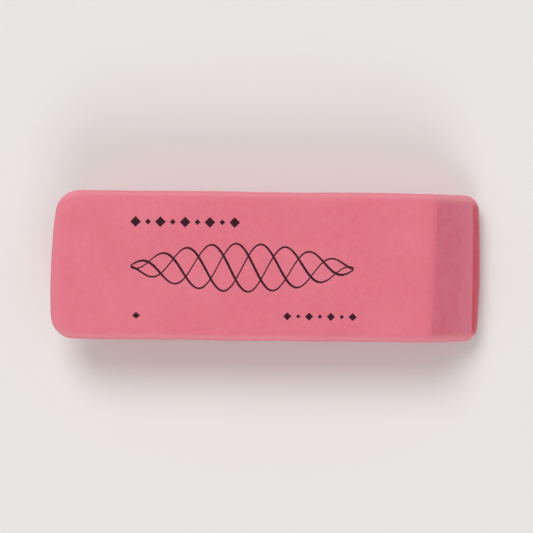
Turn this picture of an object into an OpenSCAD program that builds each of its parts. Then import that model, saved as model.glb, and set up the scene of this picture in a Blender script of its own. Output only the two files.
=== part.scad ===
// Bevelled rubber eraser: one solid block, cut on a slant at both ends and tumbled until its edges
// are round. X runs along the block and Z up from the large face that it lies on, with the origin
// at the middle of the block's box. The two cuts run parallel, so the upper face sits towards -X.
// Each face ends in a tip, where a cut undercuts it, and in a heel, where the other cut leaves it.
// A tip is worn to a nose that is rounder than the other edges.

/* [Block] */
// Length over both tips
block_len = 58.2; // [35:0.1:90]
// Width of the large faces
block_w = 20; // [12:0.1:34]
// Thickness between the large faces
block_t = 11; // [6:0.1:18]

/* [Slanted ends] */
// Angle of a cut to the face that it undercuts
cut_angle = 48; // [42:1:75]
// Lean of the upper face's two ends away from square, seen from above
upper_lean = 1.9; // [-4:0.1:4]
// Lean of the lower face's two ends away from square, seen from above
lower_lean = -0.2; // [-4:0.1:4]

/* [Tumbled edges] */
// Radius of the long edges and the heel edges
edge_r = 1.4; // [0.5:0.1:1.9]
// Radius of a tip's nose, seen from the side
nose_r = 2.5; // [2:0.1:3.2]

/* [Tip of the upper face] */
// Corner radius, seen from above
upper_corner_r = 3.2; // [2:0.1:5]
// How far the middle stands out past the sides
upper_bow = 0.7; // [0.1:0.05:1.2]

/* [Tip of the lower face] */
// Corner radius, seen from above
lower_corner_r = 2; // [2:0.1:5]
// How far the middle stands out past the sides
lower_bow = 0.35; // [0.1:0.05:1.2]

/* [Hidden] */
rubber_pink = "#df7687";
// Facets round a ball, a multiple of 4
facets = 32;
// Facets round the large circle that bows a tip
bow_facets = 360;
// Thickness of the sheet and the disc that shape a tip
sheet_t = 0.01;
// What is skimmed off each large face to leave it truly flat
skim = 0.01;
// Where the two planes of an end would meet, were its tip left sharp
sharp_x = block_len / 2 + nose_r * (1 / tan(cut_angle / 2) - 1);
// Middle of a heel's ball, off the middle of the block
heel_x = sharp_x - block_t / tan(cut_angle) - edge_r * tan(cut_angle / 2);

// Radius of the circle through a tip's middle and its two sides
function bow_r(bow) = (pow(block_w / 2, 2) + pow(bow, 2)) / (2 * bow);

// A ball whose facets reach its radius along X, Y and Z
module ball(r) {
    sphere(r / cos(180 / facets), $fn = facets);
}

// Outline of a tip that points to +X, drawn in by the edge radius from the tip's middle at x = 0
module tip_outline(corner_r, bow, lean) {
    inner_w = block_w - 2 * corner_r;
    offset(r = corner_r - edge_r, $fn = facets)
        intersection() {
            translate([-2 * corner_r, -inner_w / 2])
                square([2 * corner_r, inner_w]);
            translate([-bow_r(bow), bow_r(bow) * tan(lean)])
                circle(bow_r(bow) - corner_r, $fn = bow_facets);
        }
}

// A tip at +X whose face is the lower one: a disc gives the outline its nose, and a ball its edges
module tip(corner_r, bow, lean) {
    disc_r = nose_r - edge_r;
    minkowski() {
        translate([block_len / 2 - disc_r, 0, nose_r - skim])
            linear_extrude(sheet_t)
                tip_outline(corner_r, bow, lean);
        rotate([90, 0, 0])
            cylinder(h = sheet_t, r = disc_r, center = true, $fn = facets);
        ball(edge_r);
    }
}

// A heel at -X whose face is the lower one, as the ball at each of its two corners
module heel(lean) {
    for (side = [-1, 1]) {
        y = side * (block_w / 2 - edge_r);
        translate([-heel_x + y * tan(lean), y, edge_r - skim])
            ball(edge_r);
    }
}

// Turns an end over, from the lower face to the upper one and from +X to -X
module turned_over() {
    translate([0, 0, block_t])
        rotate([0, 180, 0])
            children();
}

module eraser() {
    color(rubber_pink)
        intersection() {
            hull() {
                tip(lower_corner_r, lower_bow, lower_lean);
                heel(lower_lean);
                turned_over() {
                    tip(upper_corner_r, upper_bow, -upper_lean);
                    heel(-upper_lean);
                }
            }
            translate([-block_len, -block_w, 0])
                cube([2 * block_len, 2 * block_w, block_t]);
        }
}

eraser();
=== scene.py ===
import math
from functools import reduce

import bmesh
import bpy
from mathutils import Matrix, Vector


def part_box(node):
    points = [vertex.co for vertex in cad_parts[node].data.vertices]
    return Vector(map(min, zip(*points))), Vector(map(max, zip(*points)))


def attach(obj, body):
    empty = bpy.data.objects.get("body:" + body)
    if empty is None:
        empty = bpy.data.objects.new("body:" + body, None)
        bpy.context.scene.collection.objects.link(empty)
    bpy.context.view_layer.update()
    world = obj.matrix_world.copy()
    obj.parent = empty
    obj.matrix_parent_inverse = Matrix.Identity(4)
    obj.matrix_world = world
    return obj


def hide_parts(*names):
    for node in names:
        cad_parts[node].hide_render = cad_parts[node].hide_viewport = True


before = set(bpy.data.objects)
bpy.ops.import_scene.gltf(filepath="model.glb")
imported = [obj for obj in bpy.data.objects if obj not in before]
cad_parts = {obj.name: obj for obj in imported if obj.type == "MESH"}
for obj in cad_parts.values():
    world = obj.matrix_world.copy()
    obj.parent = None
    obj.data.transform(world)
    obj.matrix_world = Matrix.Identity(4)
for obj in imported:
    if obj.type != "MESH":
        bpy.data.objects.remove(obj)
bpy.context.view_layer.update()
boxLow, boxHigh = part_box("eraser")
length, width, thickness = boxHigh - boxLow
mm = 0.001
print("frame loaded, block of %.1f x %.1f x %.1f mm" % (length / mm, width / mm, thickness / mm))


class Wire:
    # one output of a node, and what Python's operators make of it
    def __init__(self, tree, socket=None):
        self.tree = tree
        self.socket = socket

    # adds a node: its settings are set first, then the values or wires of its sockets
    def add(self, kind, settings, sockets, output=0):
        node = self.tree.nodes.new(kind)
        for name, value in settings.items():
            setattr(node, name, value)
        for key, value in sockets.items():
            if isinstance(value, Wire):
                self.tree.links.new(value.socket, node.inputs[key])
            else:
                node.inputs[key].default_value = value
        return Wire(self.tree, node.outputs[output])

    def maths(self, operation, *values):
        return self.add("ShaderNodeMath", {"operation": operation}, dict(enumerate(values)))

    def __add__(self, other):
        return self.maths("ADD", self, other)

    def __radd__(self, other):
        return self.maths("ADD", other, self)

    def __sub__(self, other):
        return self.maths("SUBTRACT", self, other)

    def __rsub__(self, other):
        return self.maths("SUBTRACT", other, self)

    def __mul__(self, other):
        return self.maths("MULTIPLY", self, other)

    def __rmul__(self, other):
        return self.maths("MULTIPLY", other, self)

    def __truediv__(self, other):
        return self.maths("DIVIDE", self, other)

    def __rtruediv__(self, other):
        return self.maths("DIVIDE", other, self)

    def __pow__(self, other):
        return self.maths("POWER", self, other)

    def __rpow__(self, other):
        return self.maths("POWER", other, self)

    def __abs__(self):
        return self.maths("ABSOLUTE", self)

    def least(self, other):
        return self.maths("MINIMUM", self, other)

    def most(self, other):
        return self.maths("MAXIMUM", self, other)

    def sine(self):
        return self.maths("SINE", self)

    def cosine(self):
        return self.maths("COSINE", self)

    def rounded(self):
        return self.maths("ROUND", self)

    def sign(self):
        return self.maths("SIGN", self)

    # 0 at low and 1 at high, with a smooth change between them
    def rise(self, low, high):
        ends = {"Value": self, "From Min": low, "From Max": high}
        return self.add("ShaderNodeMapRange", {"interpolation_type": "SMOOTHSTEP"}, ends)

    # what follows is for vectors
    def vectorMaths(self, operation, *others):
        return self.add("ShaderNodeVectorMath", {"operation": operation}, dict(enumerate((self, *others))))

    def scaled(self, factor):
        return self.add("ShaderNodeVectorMath", {"operation": "SCALE"}, {"Vector": self, "Scale": factor})

    def parts(self):
        first = self.add("ShaderNodeSeparateXYZ", {}, {0: self})
        return [Wire(self.tree, output) for output in first.socket.node.outputs]

    def noise(self, scale, detail=2.0, roughness=0.5):
        levels = {"Vector": self, "Scale": scale, "Detail": detail, "Roughness": roughness}
        return self.add("ShaderNodeTexNoise", {}, levels)

    # this wire as a mask: the first colour where it is 0, the second where it is 1
    def between(self, first, second):
        return self.add("ShaderNodeMix", {"data_type": "RGBA"}, {0: self, 6: first, 7: second}, 2)


block = {
    "cutAngle": 48,            # degrees, from a cut to the face that it undercuts
    "upperLean": 1.9,          # degrees, how far the upper face's ends are off square
    "lowerLean": -0.2,         # the same, of the lower face
    "edgeRadius": 1.4 * mm,
    "noseRadius": 2.5 * mm,    # of a tip, seen from the side
    "upperCorner": 3.2 * mm,   # corner radius of the upper face's tip, seen from above
    "upperBow": 0.7 * mm,      # how far that tip's middle stands out
    "lowerCorner": 2.0 * mm,
    "lowerBow": 0.35 * mm,
    "cornerSteps": 16,         # of the core, round a corner, along a bow and round a nose
    "bowSteps": 40,
    "noseSteps": 16,
    "gridStep": 0.26 * mm,     # size of the mesh's squares
    "unevenness": 0.16 * mm,   # slow waves along the sides and ends
    "unevenSize": 11 * mm,
    "unevenShows": (0.3, 0.8),
    "edgeWear": 0.10 * mm,     # what tumbling took off the edges, here and there
    "wearSize": 2.4 * mm,
    "softening": 3,            # passes that ease the edges into the faces
    "edgeMark": 3,             # how fast the edges' mark comes in off the faces
    # the other marks come in between two cosines of the angle to the way that each one is named for
    "cutEndMark": (0.95, 0.995),
    "endwardMark": (0.40, 0.60),
    "noCornerMark": (0.55, 0.10),
    "sideMark": (0.2, 0.7),
    "upperFaceMark": (0.98, 0.999),
    "largeFaceMark": (0.9, 1.0),
}
cut = math.radians(block["cutAngle"])
edgeRadius = block["edgeRadius"]
noseRadius = block["noseRadius"]
sharpX = length / 2 + noseRadius * (1 / math.tan(cut / 2) - 1)  # where the tips would be, left sharp
cutRun = thickness / math.tan(cut)
upperSlope = math.tan(math.radians(block["upperLean"]))
lowerSlope = math.tan(math.radians(block["lowerLean"]))
quarterTurn = math.pi / 2


# the outline of a tip that points to +X, from -Y to +Y, drawn in by the edge radius
def tipPoints(corner, bow, slope):
    bowRadius = (width ** 2 / 4 + bow ** 2) / (2 * bow)
    middle = Vector((length / 2 - bowRadius, bowRadius * slope))
    reach = width / 2 - corner
    first = math.asin((-reach - middle.y) / (bowRadius - corner))
    last = math.asin((reach - middle.y) / (bowRadius - corner))
    arcs = [
        (-quarterTurn, first, block["cornerSteps"]),
        (first, last, block["bowSteps"]),
        (last, quarterTurn, block["cornerSteps"]),
    ]
    angles = [low + (high - low) * step / steps for low, high, steps in arcs for step in range(steps)]
    points = []
    for angle in [*angles, quarterTurn]:
        onBow = min(max(angle, first), last)
        toCorner = Vector((math.cos(onBow), math.sin(onBow))) * (bowRadius - corner)
        toEdge = Vector((math.cos(angle), math.sin(angle))) * (corner - edgeRadius)
        points.append(middle + toCorner + toEdge)
    return points


# rows of points from the lower face round the nose and up the cut to the heel, for the end at +X
def endRows(tip, heelSlope):
    heelX = sharpX - cutRun - edgeRadius * math.tan(cut / 2)
    inset = noseRadius - edgeRadius
    steps = block["noseSteps"]
    rows = []
    for step in range(steps + 1):
        turn = (math.pi - cut) * step / steps - quarterTurn
        out = inset * (math.cos(turn) - 1)
        rows.append([(p.x + out, p.y, noseRadius + inset * math.sin(turn)) for p in tip])
    rows.append([(heelX + p.y * heelSlope, p.y, thickness - edgeRadius) for p in tip])
    return rows


# the block shrunk by its edge radius: what every point of the surface is that radius away from
def makeCore():
    lowerTip = tipPoints(block["lowerCorner"], block["lowerBow"], lowerSlope)
    upperTip = tipPoints(block["upperCorner"], block["upperBow"], -upperSlope)
    rows = endRows(lowerTip, upperSlope)
    rows += [[(-x, y, thickness - z) for x, y, z in row] for row in endRows(upperTip, -lowerSlope)]
    across = len(lowerTip)
    around = len(rows)
    faces = []
    for row in range(around):
        here = row * across
        there = (row + 1) % around * across
        faces += [(here + i, here + i + 1, there + i + 1, there + i) for i in range(across - 1)]
    faces.append([row * across for row in range(around)])
    faces.append([row * across + across - 1 for row in range(around)])
    mesh = bpy.data.meshes.new("core")
    mesh.from_pydata([point for row in rows for point in row], [], faces)
    core = bpy.data.objects.new("core", mesh)
    bpy.context.scene.collection.objects.link(core)
    return core


# named inputs of the block's tree: their kind of socket and their value
def blockInputs(core, rubber):
    step = block["gridStep"]
    return {
        "Core": ("NodeSocketObject", core),
        "Rubber": ("NodeSocketMaterial", rubber),
        "Points Along": ("NodeSocketInt", round((2 * sharpX - cutRun) / step)),
        "Points Across": ("NodeSocketInt", round(width / step)),
        "Points Up": ("NodeSocketInt", round(thickness / math.sin(cut) / step)),
        "Half Length": ("NodeSocketFloat", sharpX - cutRun / 2),
        "Half Run": ("NodeSocketFloat", cutRun / 2),
        "Width": ("NodeSocketFloat", width),
        "Thickness": ("NodeSocketFloat", thickness),
        "Edge Radius": ("NodeSocketFloat", edgeRadius),
        "Upper Slope": ("NodeSocketFloat", upperSlope),
        "Lower Slope": ("NodeSocketFloat", lowerSlope),
        "Unevenness": ("NodeSocketFloat", block["unevenness"]),
        "Uneven Scale": ("NodeSocketFloat", 1 / block["unevenSize"]),
        "Edge Wear": ("NodeSocketFloat", block["edgeWear"]),
        "Wear Scale": ("NodeSocketFloat", 1 / block["wearSize"]),
        "Softening": ("NodeSocketInt", block["softening"]),
    }


# what the rubber's colours follow, from the way that each point looks out of the core and its height
def blockMarks(outward, height, blockHeight):
    outX, outY, outZ = outward.parts()
    endLook = abs(outX * math.sin(cut) + outZ * math.cos(cut))
    squarely = abs(outZ).most(abs(outY)).most(endLook)
    fromMiddle = height - blockHeight / 2
    return {
        "edge": ((1 - squarely) * block["edgeMark"]).least(1),
        "cutEnd": endLook.rise(*block["cutEndMark"]),
        "endward": abs(outX).rise(*block["endwardMark"]) * abs(outY).rise(*block["noCornerMark"]),
        "side": abs(outY).rise(*block["sideMark"]),
        "fromTip": (blockHeight / 2 + fromMiddle * outX.sign()) / mm,  # from the face of the nearer tip
        "upperFace": outZ.rise(*block["upperFaceMark"]),
    }


def blockTree(inputs):
    tree = bpy.data.node_groups.new("roundedBlock", "GeometryNodeTree")
    for name, (kind, value) in inputs.items():
        tree.interface.new_socket(name, in_out="INPUT", socket_type=kind)
    tree.interface.new_socket("Geometry", in_out="OUTPUT", socket_type="NodeSocketGeometry")
    start = tree.nodes.new("NodeGroupInput")
    given = {name: Wire(tree, start.outputs[name]) for name in inputs}
    new = Wire(tree).add

    def moved(shape, place):
        return new("GeometryNodeSetPosition", {}, {"Geometry": shape, "Position": place})

    # a grid over a cube, leant over into the sharp block
    shape = new("GeometryNodeMeshCube", {}, {
        "Size": (2, 2, 2),
        "Vertices X": given["Points Along"],
        "Vertices Y": given["Points Across"],
        "Vertices Z": given["Points Up"],
    })
    place = new("GeometryNodeInputPosition", {}, {})
    along, across, up = place.parts()
    raised = (up + 1) / 2
    y = across * given["Width"] / 2
    slope = given["Lower Slope"] + (given["Upper Slope"] - given["Lower Slope"]) * raised
    x = along * given["Half Length"] - up * given["Half Run"] + y * slope
    z = raised * given["Thickness"]
    shape = moved(shape, new("ShaderNodeCombineXYZ", {}, {"X": x, "Y": y, "Z": z}))

    # each point's nearest place on the core, and the way out from there
    held = {"Object": given["Core"]}
    core = new("GeometryNodeObjectInfo", {"transform_space": "RELATIVE"}, held, "Geometry")
    sought = {"Geometry": core, "Sample Position": place}
    near = new("GeometryNodeProximity", {"target_element": "FACES"}, sought)
    outward = place.vectorMaths("SUBTRACT", near).vectorMaths("NORMALIZE")
    marks = blockMarks(outward, near.parts()[2], given["Thickness"])
    for name, mark in marks.items():
        kept = {"Geometry": shape, "Name": name, "Value": mark}
        shape = new("GeometryNodeStoreNamedAttribute", {"data_type": "FLOAT", "domain": "POINT"}, kept)

    # each point goes to one edge radius from the core, which rounds edges and corners, less what is
    # lost: the sides and ends are never quite straight, and the edges are rubbed down
    upright = 1 - abs(outward.parts()[2]).rise(*block["largeFaceMark"])
    waves = near.noise(given["Uneven Scale"]).rise(*block["unevenShows"]) * upright
    rubs = near.noise(given["Wear Scale"], detail=3)
    lost = waves * given["Unevenness"] + marks["edge"] * given["Edge Wear"] * rubs
    shape = moved(shape, near.vectorMaths("ADD", outward.scaled(given["Edge Radius"] - lost)))
    eased = {"Value": place, "Iterations": given["Softening"]}
    shape = moved(shape, new("GeometryNodeBlurAttribute", {"data_type": "FLOAT_VECTOR"}, eased))

    shape = new("GeometryNodeSetShadeSmooth", {}, {"Geometry": shape})
    shape = new("GeometryNodeRealizeInstances", {}, {"Geometry": shape})
    shape = new("GeometryNodeSetMaterial", {}, {"Geometry": shape, "Material": given["Rubber"]})
    tree.links.new(shape.socket, tree.nodes.new("NodeGroupOutput").inputs["Geometry"])
    return tree


def makeBlock(rubber):
    core = makeCore()
    inputs = blockInputs(core, rubber)
    tree = blockTree(inputs)
    maker = bpy.data.objects.new("blockMaker", bpy.data.meshes.new("blockMaker"))
    bpy.context.scene.collection.objects.link(maker)
    modifier = maker.modifiers.new("roundedBlock", "NODES")
    modifier.node_group = tree
    for item in tree.interface.items_tree:
        if item.in_out == "INPUT":
            modifier[item.identifier] = inputs[item.name][1]
    graph = bpy.context.evaluated_depsgraph_get()
    mesh = bpy.data.meshes.new_from_object(maker.evaluated_get(graph), depsgraph=graph)
    mesh.name = "pinkBlock"
    bpy.data.objects.remove(maker)
    bpy.data.objects.remove(core)
    piece = bpy.data.objects.new("pinkBlock", mesh)
    bpy.context.scene.collection.objects.link(piece)
    return piece


printLook = {
    "ink": (0.030, 0.003, 0.009, 1),
    "inkRoughness": 0.55,
    "inkGloss": 0.15,
    "cover": 0.89,             # how much ink lies where little does
    "fullCover": 0.10,         # and how much more elsewhere
    "blur": 0.05,              # millimetres from clear to full ink
    "raggedness": 0.07,        # of the ink's edges
    "raggedWaves": 5,          # of it, to the millimetre
    # a braid, in millimetres on the upper face
    "middle": (-3.25, -0.2),
    "halfLength": 15.0,
    "halfHeight": 3.2,
    "taper": 0.8,
    "wave": 10.0,
    "strands": 3,
    "line": 0.25,
    "swell": 0.3,              # thinner by this share where a strand rises and thicker where it falls
    "strandEnd": 0.99,         # of the half length
    # rows of lozenges: middle, how many, pitch, and the half width and half height of the largest
    "rows": [
        ((-10.9, 5.8), 9, 1.65, 0.72, 0.72),
        ((-17.3, -6.7), 1, 1.65, 0.55, 0.45),
        ((7.2, -6.6), 7, 1.45, 0.55, 0.55),
    ],
    "smaller": 0.45,           # by this share, every other lozenge
    "lozengeSlant": 0.7,       # of its sides, for the distance to them
}


# millimetres into the strands, which cross along a spindle
def insideBraid(along, across):
    look = printLook
    x = along - look["middle"][0]
    y = across - look["middle"][1]
    turn = 2 * math.pi / look["wave"]
    share = (abs(x) / look["halfLength"]).least(1)
    spindle = (1 - share * share) ** look["taper"] * look["halfHeight"]
    insides = []
    for strand in range(look["strands"]):
        angle = x * turn + 2 * math.pi * strand / look["strands"]
        slope = spindle * angle.cosine() * turn
        off = abs(y - spindle * angle.sine()) / (slope * slope + 1) ** 0.5
        halfLine = (1 - angle.cosine() * look["swell"]) * look["line"] / 2
        insides.append((halfLine - off).least((look["strandEnd"] - share) * look["halfLength"]))
    return reduce(Wire.most, insides)


# millimetres into the lozenges of one row
def insideRow(along, across, row):
    (rowX, rowY), count, pitch, halfWide, halfHigh = row
    x = (along - rowX) / pitch + (count - 1) / 2
    nearest = x.rounded().most(0).least(count - 1)
    size = 1 - (nearest * quarterTurn).sine() ** 2 * printLook["smaller"]
    reach = abs(x - nearest) * pitch / halfWide + abs(across - rowY) / halfHigh
    return (size - reach) * halfHigh * printLook["lozengeSlant"]


def printMask(place):
    along, across = place.parts()[:2]
    rows = [insideRow(along, across, row) for row in printLook["rows"]]
    inside = reduce(Wire.most, [insideBraid(along, across), *rows])
    rough = (place.noise(printLook["raggedWaves"]) - 0.5) * printLook["raggedness"]
    return (inside + rough).rise(-printLook["blur"] / 2, printLook["blur"] / 2)


rubberLook = {
    # patterns: waves to the millimetre, detail and roughness
    "patterns": {
        "clouds": (0.11, 3, 0.5),
        "mottle": (1.3, 4, 0.62),
        "grain": (5.0, 3, 0.7),
        "blotches": (0.6, 3, 0.5),
        "smear": (0.4, 3, 0.6),
        "specks": (4.2, 1, 0.5),
        "pores": (2.6, 2, 0.5),
        "wander": (0.6, 2, 0.5),
        "inkSpots": (3.2, 2, 0.5),
    },
    # where each pattern starts to show, and where it shows in full
    "shows": {
        "clouds": (0.35, 0.75),
        "mottle": (0.25, 0.75),
        "blotches": (0.30, 0.68),
        "smear": (0.25, 0.6),
        "dust": (0.66, 0.74),
        "dark": (0.30, 0.24),
        "pores": (0.36, 0.26),
        "inkSpots": (0.30, 0.38),
    },
    # the large faces: between the mottles, on them, and where clouds of bloom lie
    "deeper": (0.715, 0.150, 0.212, 1),
    "pink": (0.745, 0.170, 0.236, 1),
    "paler": (0.775, 0.205, 0.272, 1),
    "bloom": 0.5,
    # the cut ends, without the moulded skin
    "cutDeeper": (0.678, 0.118, 0.195, 1),
    "cutPink": (0.706, 0.146, 0.223, 1),
    "cutPaler": (0.735, 0.196, 0.262, 1),
    "cutBloom": 0.6,
    "cutBloomEnds": (7, 3.45),  # millimetres above the tip's face, where it starts and is full
    # paler edges along the sides, and more faintly along the rim of a tip's face: partly rubbed wear,
    # partly a painted highlight on the rounding
    "rubHighlightAndDustPink": (0.810, 0.250, 0.312, 1),
    "edgeSpread": 1.6,
    "sideRubAndHighlight": 0.75,
    "rimRubAndHighlight": 0.22,
    "rimEnds": (2.7, 2.2),      # millimetres above the tip's face, as the next
    # where a cut rounds into its tip: a painted shade, deep crimson, standing in for the dim light and the
    # pink light bounced under the tip's rounding
    "shadeAndSpeckCrimson": (0.590, 0.040, 0.083, 1),
    "noseEnds": (1.9, 3.1),
    "noseWidth": 1.19,          # millimetres in from the tip, seen from above
    "noseBorder": (0.12, -0.06),
    "noseRaggedness": 0.8,
    "noseShadeLeast": 0.77,           # how deep the painted shade is at the least, and how much more in places
    "noseShadeMore": 0.20,
    "nosePolish": 0.16,         # less roughness there, and less relief
    "noseSmoothness": 0.6,
    # grains of pale dust and dark specks
    "dust": 0.4,
    "noseDust": 0.05,
    "darkSpecks": 0.4,
    # relief, in millimetres
    "grainHeight": 0.035,
    "mottleHeight": 0.030,
    "poreDepth": 0.012,
    "knifeHeight": 0.004,
    "knifeTurn": 9,             # radians to the millimetre across a cut end
    "knifeWander": 4,
    "roughness": 0.56,
    "grainRoughness": 0.12,
    "gloss": 0.4,
    "sheen": 0.10,
    "sheenRoughness": 0.5,
    "sheenTint": (1.0, 0.86, 0.88, 1),
    "depth": 0.12,              # how much light passes under the surface
    "depthRadius": (1.0, 0.35, 0.3),
    "depthScale": 0.6 * mm,
}


# where a nose's painted shade lies: up to a straight line across the cut, with a ragged end under the tip
def noseMask(x, patterns, marks):
    look = rubberLook
    inward = length / 2 / mm - abs(x)
    borderLow, borderHigh = [look["noseWidth"] + off for off in look["noseBorder"]]
    ragged = marks["fromTip"] + (patterns["smear"] - 0.5) * look["noseRaggedness"]
    return inward.rise(borderLow, borderHigh) * ragged.rise(*look["noseEnds"]) * marks["endward"]


def rubberColour(patterns, marks, nose):
    look = rubberLook
    shows = look["shows"]
    colour = patterns["mottle"].rise(*shows["mottle"]).between(look["deeper"], look["pink"])
    colour = (patterns["clouds"].rise(*shows["clouds"]) * look["bloom"]).between(colour, look["paler"])

    cutColour = patterns["blotches"].rise(*shows["blotches"]).between(look["cutDeeper"], look["cutPink"])
    cutBloom = marks["fromTip"].rise(*look["cutBloomEnds"]) * look["cutBloom"]
    colour = marks["cutEnd"].between(colour, cutBloom.between(cutColour, look["cutPaler"]))

    # paler edges and tip rims: partly rubbed wear, partly a painted highlight where the surface turns
    rim = marks["fromTip"].rise(*look["rimEnds"]) * look["rimRubAndHighlight"]
    rubAndHighlight = (marks["edge"] * look["edgeSpread"]).least(1) * (marks["side"] * look["sideRubAndHighlight"]).most(rim)
    colour = rubAndHighlight.between(colour, look["rubHighlightAndDustPink"])
    # painted shade on the nose: deep crimson, deeper in smeared places
    noseShade = nose * (patterns["smear"].rise(*shows["smear"]) * look["noseShadeMore"] + look["noseShadeLeast"])
    colour = noseShade.between(colour, look["shadeAndSpeckCrimson"])

    # pale dust specks take the same pale pink as the edges
    dust = look["dust"] - nose * (look["dust"] - look["noseDust"])
    colour = (patterns["specks"].rise(*shows["dust"]) * dust).between(colour, look["rubHighlightAndDustPink"])
    # dark specks take the same deep crimson as the nose's painted shade
    dark = patterns["specks"].rise(*shows["dark"]) * look["darkSpecks"]
    return dark.between(colour, look["shadeAndSpeckCrimson"])


# a fine tooth all over with a few open pores, and on the cut ends the faint lines of the knife
def rubberHeight(y, patterns, marks, nose):
    look = rubberLook
    pores = patterns["pores"].rise(*look["shows"]["pores"]) * look["poreDepth"]
    tooth = patterns["grain"] * look["grainHeight"] + patterns["mottle"] * look["mottleHeight"] - pores
    lines = (y * look["knifeTurn"] + patterns["wander"] * look["knifeWander"]).sine() * marks["cutEnd"]
    return tooth * (1 - nose * look["noseSmoothness"]) + lines * look["knifeHeight"]


def makeRubber():
    material = bpy.data.materials.new("pinkRubber")
    material.use_nodes = True
    tree = material.node_tree
    tree.nodes.clear()
    new = Wire(tree).add
    look = rubberLook
    place = new("ShaderNodeTexCoord", {}, {}, "Object").scaled(1 / mm)
    x, y = place.parts()[:2]
    patterns = {name: place.noise(*levels) for name, levels in look["patterns"].items()}
    names = ["edge", "cutEnd", "endward", "side", "fromTip", "upperFace"]
    marks = {name: new("ShaderNodeAttribute", {"attribute_name": name}, {}, "Fac") for name in names}
    nose = noseMask(x, patterns, marks)
    height = rubberHeight(y, patterns, marks, nose)
    normal = new("ShaderNodeBump", {}, {"Strength": 1.0, "Distance": mm, "Height": height})
    roughness = patterns["grain"] * look["grainRoughness"] + look["roughness"]
    rubberShader = new("ShaderNodeBsdfPrincipled", {}, {
        "Base Color": rubberColour(patterns, marks, nose),
        "Roughness": roughness - nose * look["nosePolish"],
        "Normal": normal,
        "Specular IOR Level": look["gloss"],
        "Sheen Weight": look["sheen"],
        "Sheen Roughness": look["sheenRoughness"],
        "Sheen Tint": look["sheenTint"],
        "Subsurface Weight": look["depth"],
        "Subsurface Radius": look["depthRadius"],
        "Subsurface Scale": look["depthScale"],
    })
    inkShader = new("ShaderNodeBsdfPrincipled", {}, {
        "Base Color": printLook["ink"],
        "Roughness": printLook["inkRoughness"],
        "Normal": normal,
        "Specular IOR Level": printLook["inkGloss"],
    })
    inkSpots = patterns["inkSpots"].rise(*look["shows"]["inkSpots"])
    cover = inkSpots * printLook["fullCover"] + printLook["cover"]
    inked = printMask(place) * marks["upperFace"] * cover
    shader = new("ShaderNodeMixShader", {}, {0: inked, 1: rubberShader, 2: inkShader})
    tree.links.new(shader.socket, tree.nodes.new("ShaderNodeOutputMaterial").inputs["Surface"])
    return material


stageLook = {
    "colour": (0.80, 0.79, 0.775, 1),
    "roughness": 0.9,
    "gloss": 0.2,
    "radius": 1.1,             # metres, of the flat floor
    "curve": 0.6,              # radius of its turn up into the wall
    "wall": 0.1,
    "gap": 0.02 * mm,          # keeps the floor off the face that rests on it
    "curveSteps": 16,
    "spokes": 96,
    "weld": 0.01 * mm,         # distance at which two points become one
}


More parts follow.
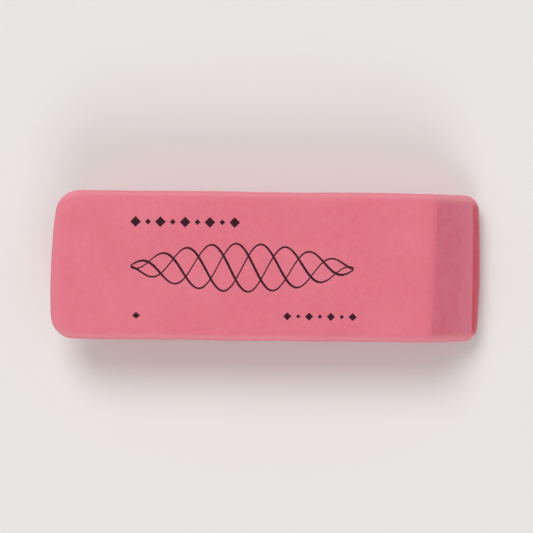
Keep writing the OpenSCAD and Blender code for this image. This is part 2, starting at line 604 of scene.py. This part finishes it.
def makeStage():
    curve = stageLook["curve"]
    steps = stageLook["curveSteps"]
    profile = [Vector((0, 0, -stageLook["gap"]))]
    for step in range(steps + 1):
        turn = quarterTurn * step / steps
        out = Vector((stageLook["radius"] + curve * math.sin(turn), 0, curve * (1 - math.cos(turn))))
        profile.append(profile[0] + out)
    profile.append(profile[-1] + Vector((0, 0, stageLook["wall"])))
    made = bmesh.new()
    points = [made.verts.new(p) for p in profile]
    edges = [made.edges.new(pair) for pair in zip(points, points[1:])]
    spin = {"cent": (0, 0, 0), "axis": (0, 0, 1), "angle": 2 * math.pi, "steps": stageLook["spokes"]}
    bmesh.ops.spin(made, geom=points + edges, **spin)
    bmesh.ops.remove_doubles(made, verts=made.verts, dist=stageLook["weld"])
    bmesh.ops.recalc_face_normals(made, faces=made.faces)
    for face in made.faces:
        face.smooth = True
    mesh = bpy.data.meshes.new("paleFloor")
    made.to_mesh(mesh)
    made.free()
    floor = bpy.data.objects.new("paleFloor", mesh)
    bpy.context.scene.collection.objects.link(floor)
    material = bpy.data.materials.new("paleFloor")
    material.use_nodes = True
    shader = material.node_tree.nodes["Principled BSDF"]
    shader.inputs["Base Color"].default_value = stageLook["colour"]
    shader.inputs["Roughness"].default_value = stageLook["roughness"]
    shader.inputs["Specular IOR Level"].default_value = stageLook["gloss"]
    mesh.materials.append(material)


lightLook = {
    "sky": 0.41,
    "lamps": [
        # name, place, size, watts
        ("key", (-0.76, 1.59, 2.43), 1.6, 45.5),
        ("fill", (0.10, -2.30, 1.75), 2.0, 27),
    ],
}


def makeLights():
    world = bpy.data.worlds.new("studio")
    world.use_nodes = True
    world.node_tree.nodes["Background"].inputs["Color"].default_value = (1, 1, 1, 1)
    world.node_tree.nodes["Background"].inputs["Strength"].default_value = lightLook["sky"]
    bpy.context.scene.world = world
    for name, place, size, watts in lightLook["lamps"]:
        lamp = bpy.data.lights.new(name, "AREA")
        lamp.shape = "DISK"
        lamp.size = size
        lamp.energy = watts
        holder = bpy.data.objects.new(name, lamp)
        holder.location = place
        holder.rotation_euler = Vector(place).to_track_quat("Z", "Y").to_euler()
        bpy.context.scene.collection.objects.link(holder)


cameraLook = {
    "height": 0.400,           # metres above the floor, straight over the block, as in the photograph
    "roll": 0.67,              # degrees that the block is turned in the picture
    "frameShare": 0.82,        # of the picture's width, taken up by the block
    "nearest": 0.01,
}


def makeCamera():
    away = cameraLook["height"] - thickness
    data = bpy.data.cameras.new("camera")
    data.lens = data.sensor_width * away * cameraLook["frameShare"] / length
    data.clip_start = cameraLook["nearest"]
    camera = bpy.data.objects.new("camera", data)
    middle = (boxLow + boxHigh) / 2
    place = Matrix.Translation((middle.x, middle.y, cameraLook["height"]))
    camera.matrix_world = place @ Matrix.Rotation(math.radians(cameraLook["roll"]), 4, "Z")
    bpy.context.scene.collection.objects.link(camera)
    bpy.context.scene.camera = camera


makeStage()
makeLights()
makeCamera()
bpy.context.scene.view_settings.view_transform = "Standard"
print("floor, lights and camera made")

rubber = makeRubber()
print("rubber mixed, nodes:", len(rubber.node_tree.nodes))

pinkBlock = makeBlock(rubber)
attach(pinkBlock, "root")
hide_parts("eraser")
print("block made, faces:", len(pinkBlock.data.polygons))
